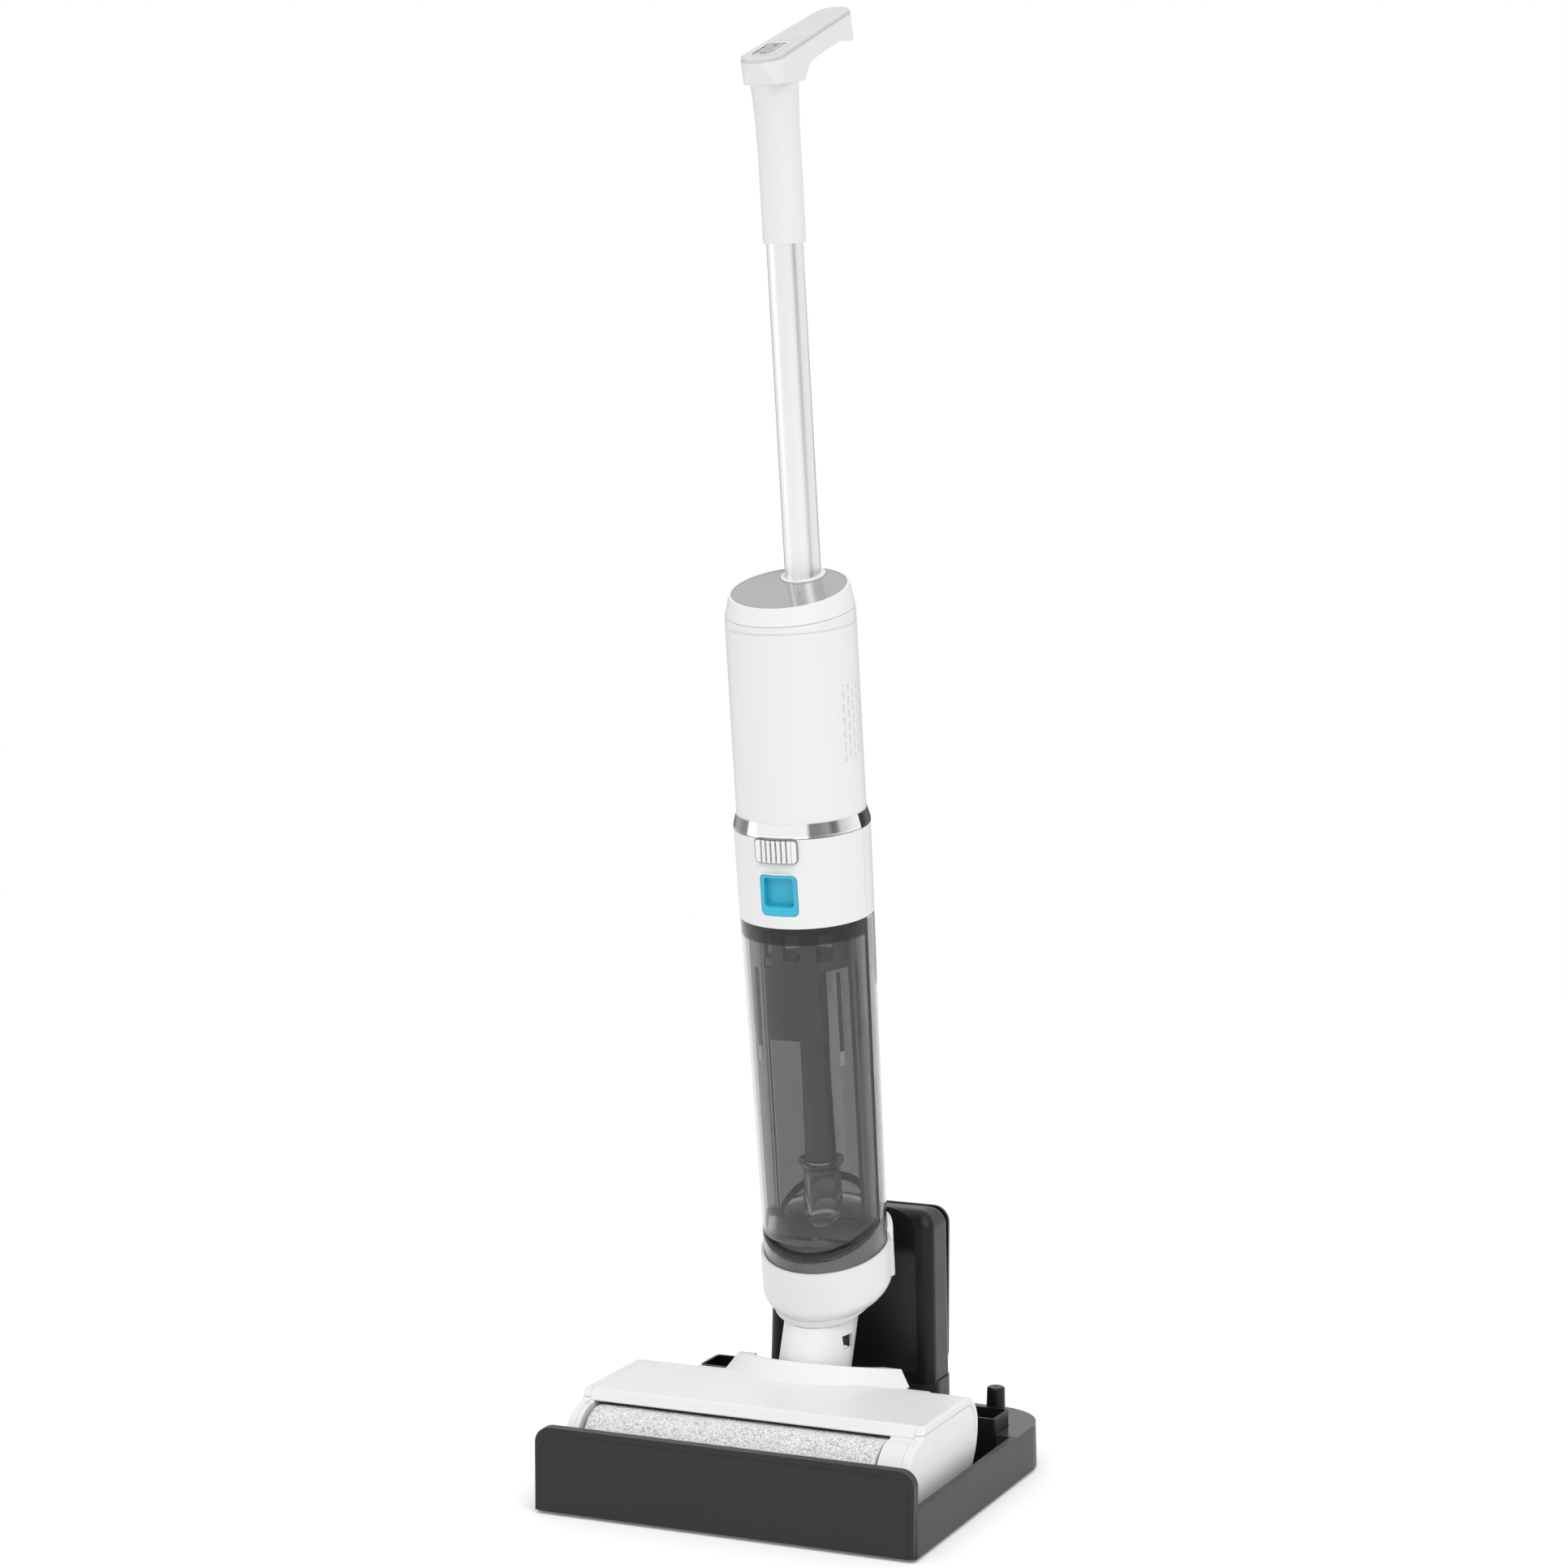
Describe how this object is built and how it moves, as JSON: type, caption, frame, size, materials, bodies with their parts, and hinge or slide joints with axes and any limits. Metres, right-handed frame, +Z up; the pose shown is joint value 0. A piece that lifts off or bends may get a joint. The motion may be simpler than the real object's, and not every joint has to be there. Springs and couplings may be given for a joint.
{
  "type": "cordless wet floor washer on charging dock",
  "caption": "Upright cordless wet floor washer with a spinning roller head, tilting neck, pull-out water tanks and grip buttons, parked on a charging dock.",
  "frame": {"origin": "on the floor at the centre of the dock", "axes": "+Z up, -Y to the front of the dock, +X to the right seen from the front"},
  "size_m": [0.3, 0.285, 1.0973],
  "materials": {
    "charcoal_plastic": "satin",
    "rubber": "satin",
    "steel": "satin",
    "contact_metal": "satin",
    "black_plastic": "satin",
    "white_plastic": "satin",
    "roller_pile": "satin",
    "roller_core": "satin",
    "skirt_plastic": "satin",
    "smoke_clear": "satin",
    "clear": "satin",
    "tank_internals": "satin",
    "blue_plastic": "satin",
    "grey_plastic": "satin",
    "chrome": "satin",
    "lens": "satin",
    "tube": "satin",
    "battery": "satin",
    "board": "satin"
  },
  "bodies": {
    "dock": {"dock_tray": "charcoal_plastic", "dock_base_plate": "charcoal_plastic", "dock_feet": "rubber", "dock_screws": "steel", "tower_shell": "charcoal_plastic", "tower_back_cover": "charcoal_plastic", "power_socket": "black_plastic", "accessory_box": "charcoal_plastic", "brush_peg": "charcoal_plastic", "filter_holder": "charcoal_plastic"},
    "charging_pins": {"charging_pins": "contact_metal"},
    "head": {"head_cover": "white_plastic", "end_cap_left": "white_plastic", "end_cap_right": "white_plastic", "head_chassis": "black_plastic", "hinge_pins": "steel", "head_screws": "steel", "roller_scraper": "black_plastic", "floor_squeegee": "rubber", "water_bar": "black_plastic", "suction_duct": "black_plastic", "roller_gearmotor": "black_plastic"},
    "roller": {"roller_core": "roller_core", "roller_pile": "roller_pile"},
    "wheel_left": {"wheel_left": "rubber"},
    "wheel_right": {"wheel_right": "rubber"},
    "neck": {"neck_shell": "white_plastic", "swivel_hub": "black_plastic"},
    "neck_release": {"neck_release": "white_plastic"},
    "body": {"cup_shell": "white_plastic", "charge_contacts": "contact_metal", "tank_cradle": "skirt_plastic", "rear_spine": "white_plastic", "chrome_ring": "chrome", "body_shell": "white_plastic", "top_collar": "white_plastic", "display_lens": "lens", "handle_tube": "tube", "battery_cells": "battery", "battery_frame": "black_plastic", "main_board": "board", "motor_housing": "black_plastic", "grip_shell": "white_plastic", "grip_panel": "grey_plastic", "keypad_bezel": "chrome"},
    "clean_tank": {"clean_tank": "clear"},
    "dirty_tank": {"dirty_tank": "smoke_clear", "tank_seal": "rubber", "inlet_stub": "tank_internals", "inlet_tube": "tank_internals", "strainer_block": "tank_internals", "tank_head": "white_plastic", "filter_cartridge": "black_plastic"},
    "tank_float": {"tank_float": "tank_internals"},
    "tank_release": {"tank_release": "blue_plastic"},
    "filter_latch": {"filter_latch": "grey_plastic"},
    "impeller": {"impeller": "black_plastic"},
    "power_button": {"power_button": "grey_plastic"},
    "mode_button": {"mode_button": "grey_plastic"},
    "cleaning_button": {"cleaning_button": "grey_plastic"}
  },
  "joints": [
    {"name": "undock", "type": "slide", "parent": "dock", "child": "head", "axis": [0, -0.1392, 0.9903], "range_m": [0, 0.6]},
    {"name": "charging_pins_in", "type": "slide", "parent": "dock", "child": "charging_pins", "axis": [0, 1, 0], "range_m": [0, 0.0015], "stiffness_N_per_m": 600},
    {"name": "roller_spin", "type": "hinge", "parent": "head", "child": "roller", "pos_m": [0, -0.092, 0.0415], "axis": [1, 0, 0], "continuous": true},
    {"name": "left_wheel_spin", "type": "hinge", "parent": "head", "child": "wheel_left", "pos_m": [-0.105, 0.001, 0.027], "axis": [1, 0, 0], "continuous": true},
    {"name": "right_wheel_spin", "type": "hinge", "parent": "head", "child": "wheel_right", "pos_m": [0.105, 0.001, 0.027], "axis": [1, 0, 0], "continuous": true},
    {"name": "recline", "type": "hinge", "parent": "head", "child": "neck", "pos_m": [0, 0.02, 0.058], "axis": [-1, 0, 0], "range_deg": [0, 60]},
    {"name": "neck_release_press", "type": "slide", "parent": "neck", "child": "neck_release", "axis": [-0.9945, 0.0982, -0.0358], "range_m": [0, 0.0015], "stiffness_N_per_m": 800},
    {"name": "steer", "type": "hinge", "parent": "neck", "child": "body", "pos_m": [0, 0.04801, 0.13317], "axis": [0, -0.4179, 0.9085], "range_deg": [-35, 35]},
    {"name": "dirty_tank_pull", "type": "slide", "parent": "body", "child": "dirty_tank", "axis": [0, -0.9903, -0.1392], "range_m": [0, 0.12]},
    {"name": "clean_tank_pull", "type": "slide", "parent": "body", "child": "clean_tank", "axis": [0, 0.9903, 0.1392], "range_m": [0, 0.08]},
    {"name": "float_rise", "type": "slide", "parent": "dirty_tank", "child": "tank_float", "axis": [0, -0.1392, 0.9903], "range_m": [0, 0.024]},
    {"name": "tank_release_press", "type": "slide", "parent": "dirty_tank", "child": "tank_release", "axis": [0, 0.9903, 0.1392], "range_m": [0, 0.0025], "stiffness_N_per_m": 900},
    {"name": "filter_latch_slide", "type": "slide", "parent": "dirty_tank", "child": "filter_latch", "axis": [0, 0.1392, -0.9903], "range_m": [0, 0.004], "stiffness_N_per_m": 700},
    {"name": "impeller_spin", "type": "hinge", "parent": "body", "child": "impeller", "pos_m": [0, 0.00104, 0.52484], "axis": [0, -0.1392, 0.9903], "continuous": true},
    {"name": "power_press", "type": "slide", "parent": "body", "child": "power_button", "axis": [0, 0.3178, -0.9481], "range_m": [0, 0.0005], "stiffness_N_per_m": 900},
    {"name": "mode_press", "type": "slide", "parent": "body", "child": "mode_button", "axis": [0, 0.3178, -0.9481], "range_m": [0, 0.0005], "stiffness_N_per_m": 900},
    {"name": "cleaning_press", "type": "slide", "parent": "body", "child": "cleaning_button", "axis": [0, 0.3178, -0.9481], "range_m": [0, 0.0005], "stiffness_N_per_m": 900}
  ],
  "couplings": [
    {"joint": "recline", "follows": "undock", "rad_per_m": 1.7453}
  ]
}
